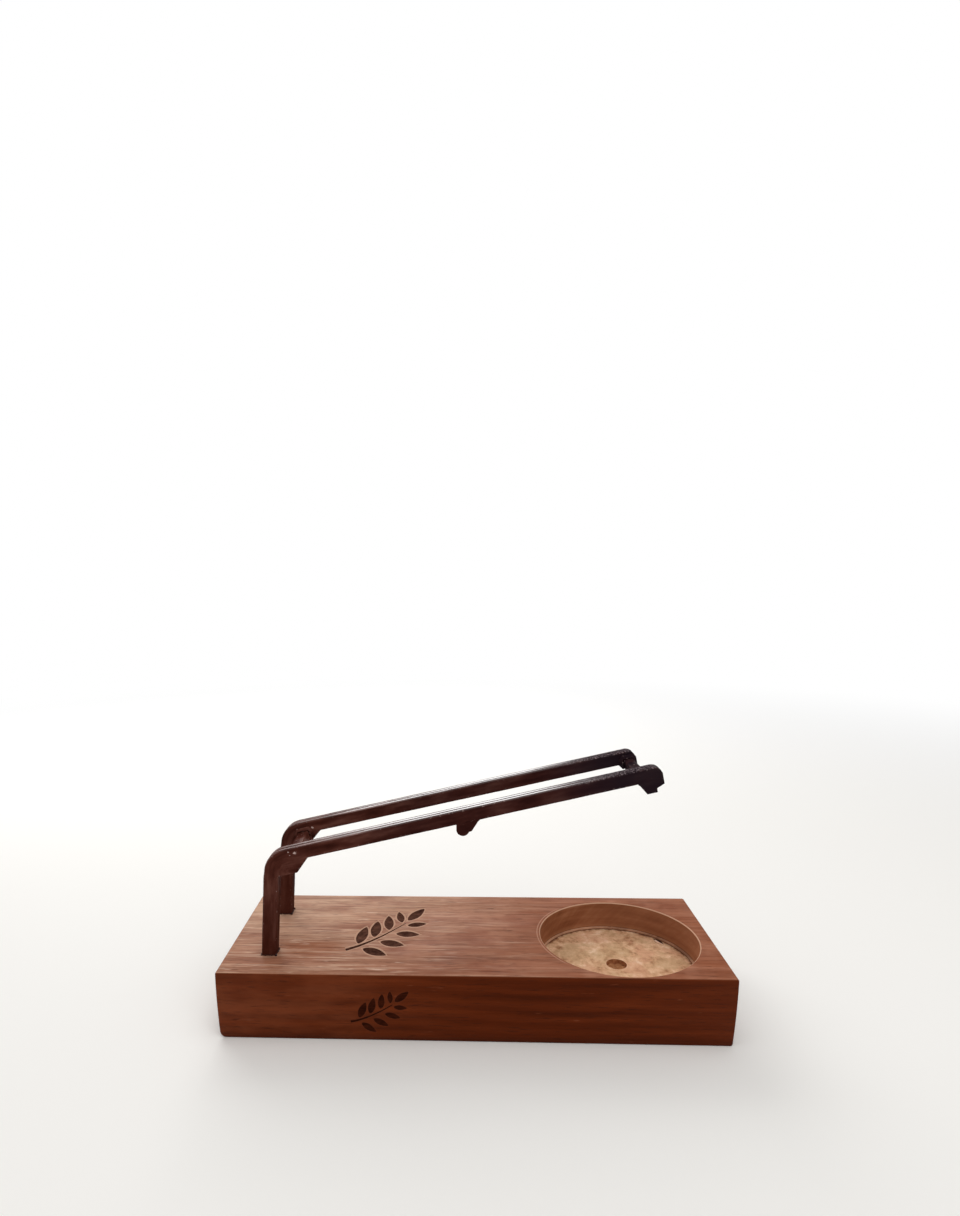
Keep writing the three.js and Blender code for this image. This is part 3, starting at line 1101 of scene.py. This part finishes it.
def routed_wall():
    """The bowl's wall: soft bands of grain, the cutter's faint strokes, a paler foot and rim, and
    painted shade low on the step by the floor.
    """
    material, spot = new_material("routed_wall", Specular_IOR_Level=0.1, Roughness=0.65)
    x, y, z = axes_of(spot)
    across = x - bowl_x
    turn = maths("ARCTAN2", y - bowl_y, across)
    round_wall = result("CombineXYZ", {0: z * 0.9 + turn * bowl_radius, 1: z, 2: 0})
    strokes = noise(round_wall, (420, 90, 1))
    bands = noise(round_wall, (22, 330, 1), shift=(3, 0, 0))
    clouds = noise(round_wall, (70, 130, 1), shift=(9, 0, 0))
    tone = strokes * 0.2 + clouds * 0.4 + bands * 0.4
    colour = ramp(tone, (0.36, 118, 68, 40), (0.5, 144, 90, 59), (0.64, 166, 112, 80))
    foot = bowl_floor + step_height
    line = band(z, foot + 0.4 * mm, foot + 0.1 * mm, 0, 0.8) * band(strokes, 0.3, 0.55, 0.35, 1)
    ledge = band(z, foot + 0.06 * mm, foot - 0.02 * mm, 0, 0.8) * band(clouds, 0.35, 0.6, 0.35, 1)
    # Painted shade low on the step, by the floor.
    groove = band(z, bowl_floor + 0.45 * mm, bowl_floor + 0.1 * mm, 0, 0.85)
    lip = top - rim_break
    colour = layered(
        colour,
        (band(across, -20 * mm, 30 * mm, 0, 0.3), 182, 124, 92),
        (band(z, foot + 3 * mm, foot, 0, 0.4), 176, 124, 88),
        (line, 70, 34, 20),
        (ledge, 206, 156, 124),
        (groove * band(clouds, 0.3, 0.5, 0.3, 1), 74, 40, 26),
        (band(z, lip - 0.15 * mm, lip + 0.05 * mm, 0, 0.8), 216, 172, 142),
    )
    return feed(material, Base_Color=colour, Normal=bump(strokes, 0.3, 0.1 * mm))


def bare_bowl_floor():
    """The bowl's floor: bare tan wood mottled with ash, and painted shade along its edge by the
    wall.
    """
    material, spot = new_material("bare_bowl_floor", Specular_IOR_Level=0.04, Roughness=0.85)
    figure = use(grain, spot)
    specks = use(dust, spot, grain_size=0.6, cover=0.5)
    mottle = noise(spot, (190, 150, 150), 5, 0.7)
    colour = ramp(
        mottle,
        (0.34, 168, 120, 86), (0.45, 208, 162, 125), (0.57, 229, 187, 150), (0.7, 248, 216, 186),
    )
    olive = noise(spot, 75)
    colour = layered(
        colour,
        (band(olive, 0.48, 0.62, 0, 0.5), 196, 162, 122),
        (band(olive, 0.46, 0.36, 0, 0.5), 214, 158, 126),
        (specks["Grains"] * 0.3, 240, 210, 180),
    )
    colour = fibred(figure, colour, 0.4, (0.78, 0.74, 0.7), 1.12)
    x, y, _ = axes_of(spot)
    reach = length_of(x - bowl_x, y - bowl_y)
    lip = band(reach, dimple_radius + 0.9 * mm, dimple_radius, 0, 0.5)
    outer = bowl_radius - step_width
    # Painted shade round the floor's edge, by the wall.
    wall_foot_shade = band(reach, outer - 1.6 * mm, outer) * band(mottle, 0.4, 0.6, 0.9, 0.1)
    colour = layered(colour, (lip, 224, 180, 146), (wall_foot_shade, 108, 66, 42))
    return feed(material, Base_Color=colour, Normal=bump(mottle, 0.6, 0.35 * mm))


def dimple_wood():
    material, spot = new_material("dimple_wood", Roughness=0.8, Specular_IOR_Level=0.05)
    cloud = noise(spot, 500)
    colour = ramp(cloud, (0.35, 152, 98, 64), (0.65, 192, 136, 94))
    colour = fibred(use(grain, spot), colour, 0.4, (0.75, 0.7, 0.66), 1.1)
    return feed(material, Base_Color=colour, Normal=bump(cloud, 0.4, 0.15 * mm))


def fresh_wood_highlight():
    """The pale bottom of the small gouge in the bowl's floor: fresh wood, made paler still as a
    painted highlight.
    """
    material, spot = new_material("fresh_wood_highlight", Roughness=0.6, Specular_IOR_Level=0.1)
    fibres = use(grain, spot)["Fibres"]
    return feed(material, Base_Color=ramp(fibres, (0.3, 236, 190, 160), (0.7, 252, 220, 194)))


def burnt_carving(name, depth_of, ledge_depth, char, ember, rim):
    """Burnt grooves between two colours. Their shallow ledges, down to a depth, are paler."""
    material, spot = new_material(name, Roughness=0.8, Specular_IOR_Level=0.01)
    fibres = use(grain, spot)["Fibres"]
    tone = noise(spot, (300, 260, 900)) * 0.5 + fibres * 0.5
    pale = band(depth_of(axes_of(spot)), 1.5 * ledge_depth, 1.05 * ledge_depth, 0, 0.85)
    colour = layered(ramp(tone, (0.38, *char), (0.64, *ember)), (pale, *rim))
    return feed(material, Base_Color=colour, Normal=bump(fibres, 0.6, 0.15 * mm))


def bend_glints(spot):
    """1 at painted glints beside the bends, drawn as small pale chips in the paint, 0 elsewhere."""
    front_side = front_y - half_bar
    rear_side = rear_y - half_bar
    ragged = noise(spot, 900, 2) * (1.6 * mm)
    chips = []
    for x, y, above, radius in (
        (-72.4, front_side, 46.4, 0.65), (-75.0, front_side, 46.7, 0.25),
        (-74.6, front_side, 45.2, 0.2), (-73.0, rear_side, 43.5, 0.5),
    ):
        away = ragged + away_from(spot, (x * mm, y, top + above * mm))
        chips.append(band(away, (radius + 0.9) * mm, (radius + 0.5) * mm))
    return functools.reduce(lambda one, other: maths("MAXIMUM", one, other), chips)


def brush_lines(bar_place):
    """0 on two dull lines along the upper side of each arm, 1 beside them."""
    _, y, _ = axes_of(bar_place)
    across = y - front_y - maths("GREATER_THAN", y, rack_y) * arm_spacing
    across = across + (noise(bar_place, (45, 0, 0), 2, 0.5) - 0.5) * (1.2 * mm)
    towards_rear = abs(across - 2.2 * mm)
    near_middle = abs(across + 0.5 * mm)
    return band(maths("MINIMUM", towards_rear, near_middle), 0.4 * mm, 0.75 * mm, 0.02, 1)


def painted_steel():
    """Brown-black paint over hand-bent steel: gloss streaks on top, soot towards the tips, a
    painted sheen on the upper sides towards the bends and painted glints beside them.
    """
    material, spot = new_material(
        "arm_paint", Specular_IOR_Level=0, Coat_IOR=1.5, Coat_Roughness=0.16, Roughness=0.5
    )
    tree = spot.tree
    edge = Value(tree, node(tree, "Attribute", attribute_name="edge").outputs["Fac"])
    bar_place = Value(tree, node(tree, "Attribute", attribute_name="bar_place").outputs["Vector"])
    marks = use(wear, spot, edge=edge, amount=0.9)
    specks = use(dust, spot, grain_size=0.6, cover=0.62)
    x, _, z = axes_of(spot)
    cloud = noise(spot, 60)
    blotch = noise(bar_place, (55, 180, 320), 4)
    tone = blotch * 0.6 + cloud * 0.4
    colour = ramp(tone, (0.38, 50, 21, 15), (0.5, 74, 37, 29), (0.62, 98, 58, 48))
    soot = band(x, 20 * mm, 62 * mm) * band(cloud, 0.2, 0.5, 0.75, 1)
    above = axes_of(bar_place)[2]
    upper = band(above, half_bar - 0.5 * mm, half_bar - 0.2 * mm)
    # Painted sheen on the upper sides, towards the bends.
    top_sheen = band(noise(bar_place, (30, 700, 700), shift=(4, 4, 4)), 0.48, 0.6, 0, 0.6) * upper
    top_sheen = top_sheen * band(x, -20 * mm, -50 * mm) * band(z, 64 * mm, 76 * mm, 0.1, 1)
    # Pale chips in the paint, with painted glints beside the bends drawn the same way.
    chips = maths("MAXIMUM", marks["Chips"], bend_glints(spot))
    colour = layered(
        colour,
        (band(z, 66 * mm, 34 * mm, 0, 0.5), 70, 31, 20),
        (band(x, -62 * mm, -10 * mm, 0, 0.5), 39, 17, 18),
        (soot, 33, 22, 28),
        (top_sheen, 158, 124, 118),
        (upper * soot * specks["Grains"] * 0.85, 150, 132, 136),
        (marks["Worn"] * 0.45, 100, 62, 54),
        (chips * 0.75, 216, 190, 182),
    )
    gloss = band(noise(bar_place, (9, 780, 780), 2, 0.5), 0.4, 0.52, 0.2, 0.9) * upper
    gloss = gloss * band(x, -76 * mm, -46 * mm, 0.35, 1) * (1 - soot) * brush_lines(bar_place)
    gloss = maths("ADD", gloss, band(blotch, 0.4, 0.7, 0.02, 0.12), clamp=True)
    normal = bump(noise(spot, 420, 3, 0.55), 0.25, 0.1 * mm)
    normal = bump(chips, 0.4, -0.1 * mm, Normal=normal)
    return feed(material, Base_Color=colour, Coat_Weight=gloss, Normal=normal)


def dried_glue():
    material, spot = new_material("dried_glue", Roughness=0.45, Specular_IOR_Level=0.1)
    cloud = noise(spot, 700)
    colour = ramp(cloud, (0.3, 30, 13, 9), (0.7, 70, 36, 24))
    return feed(material, Base_Color=colour, Normal=bump(cloud, 0.3, 0.1 * mm))


def glue_bed():
    material, spot = new_material("glue_bed", Roughness=0.5)
    colour = ramp(noise(spot, 500), (0.3, 182, 156, 100), (0.7, 214, 196, 144))
    return feed(material, Base_Color=colour)


def finish_with(piece, material):
    piece.data.materials.clear()
    piece.data.materials.append(material)
    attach(piece, "root")


paint = painted_steel()
for piece in (front_arm, rear_arm, bend_bar_piece, tip_bar_piece, lug_piece):
    finish_with(piece, paint)
for piece in weld_pieces:
    finish_with(piece, paint)
squeezed = dried_glue()
for piece in glue_rings:
    finish_with(piece, squeezed)
bed = glue_bed()
for name in ("front_post_glue", "rear_post_glue"):
    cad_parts[name].data.materials.clear()
    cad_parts[name].data.materials.append(bed)


def finish_block():
    """The outside is oiled, the top sanded, the bowl bare, and the carving burnt in. Painted light
    makes the top paler and the sides darker, and the small gouge in the bowl's floor has painted
    shade on its sides and a painted highlight on its bottom.
    """
    finish_with(block, oiled_and_shaded_side())
    for material in (
        sanded_and_lit_top(), routed_wall(), bare_bowl_floor(), dimple_wood(),
        burnt_carving(
            "burnt_top", lambda axes: top - axes[2], 0.13 * mm,
            char=(50, 27, 20), ember=(106, 70, 56), rim=(206, 162, 136),
        ),
        burnt_carving(
            "burnt_front", lambda axes: axes[1] - front_face, 0.065 * mm,
            char=(38, 13, 7), ember=(66, 27, 14), rim=(104, 50, 30),
        ),
        fresh_wood_highlight(),
    ):
        block.data.materials.append(material)
    side, upper, wall, floor, dimple, top_groove, front_groove, heart = range(8)
    skin = 0.02 * mm
    for face in block.data.polygons:
        c = face.center
        reach = math.hypot(c.x - bowl_x, c.y - bowl_y)
        in_bowl = reach < bowl_radius + rim_break
        by_carvings = -70 * mm < c.x < 0
        # The top takes the paler material and the sides the darker one: partly finish, partly
        # painted light.
        kind = upper if c.z > top - skin or face.normal.z > 0.8 else side
        if reach < dimple_radius + skin and c.z < bowl_floor - skin:
            kind = dimple
        # The small gouge: painted shade on its sides, in the dark burnt material, and a painted
        # highlight on its upward bottom.
        elif in_bowl and c.z < bowl_floor - skin:
            kind = top_groove if face.normal.z < 0.96 else heart
        elif in_bowl and abs(c.z - bowl_floor) < skin:
            kind = floor
        elif in_bowl and bowl_floor < c.z < top - skin:
            kind = wall
        elif by_carvings and top - mm < c.z < top - skin and abs(c.y) < 34 * mm:
            kind = top_groove
        elif by_carvings and skin < c.y - front_face < mm < c.z < top - mm:
            kind = front_groove
        face.material_index = kind


finish_block()


# Floor, light and camera

def floor_material():
    """A pale floor that fades to white away from the middle, as the camera sees it."""
    material, spot = new_material("pale_floor", Roughness=0.9, Specular_IOR_Level=0.1)
    fade = band(away_from(spot, (0, 0, 0)), 0.3, 1.1)
    feed(material, Base_Color=blend(fade, srgb(249, 247, 243), srgb(252, 251, 249)))
    tree = spot.tree
    paper = Value(tree, tree.nodes["Principled BSDF"].outputs["BSDF"])
    white = Value(tree, node(tree, "Emission", {"Strength": 1}).outputs["Emission"])
    seen = fade * Value(tree, node(tree, "LightPath").outputs["Is Camera Ray"])
    mixed = result("MixShader", {0: seen, 1: paper, 2: white})
    tree.links.new(mixed.socket, tree.nodes["Material Output"].inputs["Surface"])
    return material


def stage_floor():
    bpy.ops.mesh.primitive_plane_add(size=12, location=(0, 0, 0))
    floor = named("floor")
    floor.data.materials.append(floor_material())


def soft_light(name, location, target, width, height, power):
    """An area light that shines from its location towards a target, in metres and watts."""
    lamp = bpy.data.lights.new(name, "AREA")
    lamp.shape = "RECTANGLE"
    lamp.size = width
    lamp.size_y = height
    lamp.energy = power
    piece = in_scene(name, lamp)
    piece.location = location
    piece.rotation_euler = (Vector(target) - Vector(location)).to_track_quat("-Z", "Y").to_euler()
    piece.visible_camera = False


def world_light():
    world = bpy.data.worlds.new("studio")
    bpy.context.scene.world = world
    world.use_nodes = True
    tree = world.node_tree
    background = tree.nodes["Background"]
    background.inputs["Color"].default_value = (1, 1, 1, 1)
    path = node(tree, "LightPath").outputs
    by_camera = Value(tree, path["Is Camera Ray"])
    in_gloss = Value(tree, path["Is Glossy Ray"])
    ambient = 0.45
    strength = maths("ADD", by_camera, in_gloss, clamp=True) * (1 - ambient) + ambient
    tree.links.new(strength.socket, background.inputs["Strength"])


def camera():
    """The camera of the photograph, which is 960 x 1216 pixels."""
    photo_width = 960
    photo_height = 1216
    focal_pixels = 732.4
    centre_u = 426.3
    centre_v = 765.9
    lens = bpy.data.cameras.new("camera")
    lens.sensor_fit = "AUTO"
    lens.sensor_width = 36
    lens.lens = focal_pixels * lens.sensor_width / photo_height
    lens.shift_x = (photo_width / 2 - centre_u) / photo_height
    lens.shift_y = (centre_v - photo_height / 2) / photo_height
    lens.clip_start = 0.01
    piece = in_scene("camera", lens)
    stand = Matrix.Translation((-0.0045, -0.3004, 0.1847))
    turn = Matrix.Rotation(2.835 * degree, 4, "Z")
    pitch = Matrix.Rotation((90 - 14.48) * degree, 4, "X")
    roll = Matrix.Rotation(-0.706 * degree, 4, "Z")
    piece.matrix_world = stand @ turn @ pitch @ roll
    bpy.context.scene.camera = piece


stage_floor()
world_light()
soft_light("window_left", (-0.35, 0.75, 0.55), (0, 0, 0.03), 0.9, 0.6, 4.5)
soft_light("window_behind", (-0.12, 0.95, 0.38), (-0.01, -0.02, 0.08), 0.4, 0.16, 0.42)
soft_light("soft_overhead", (0.15, -0.1, 1.2), (0, 0, 0.03), 0.9, 0.9, 3.6)
soft_light("soft_front", (0.5, -0.9, 0.7), (0, 0, 0.05), 0.8, 0.8, 2.6)
camera()
bpy.context.scene.view_settings.view_transform = "Standard"
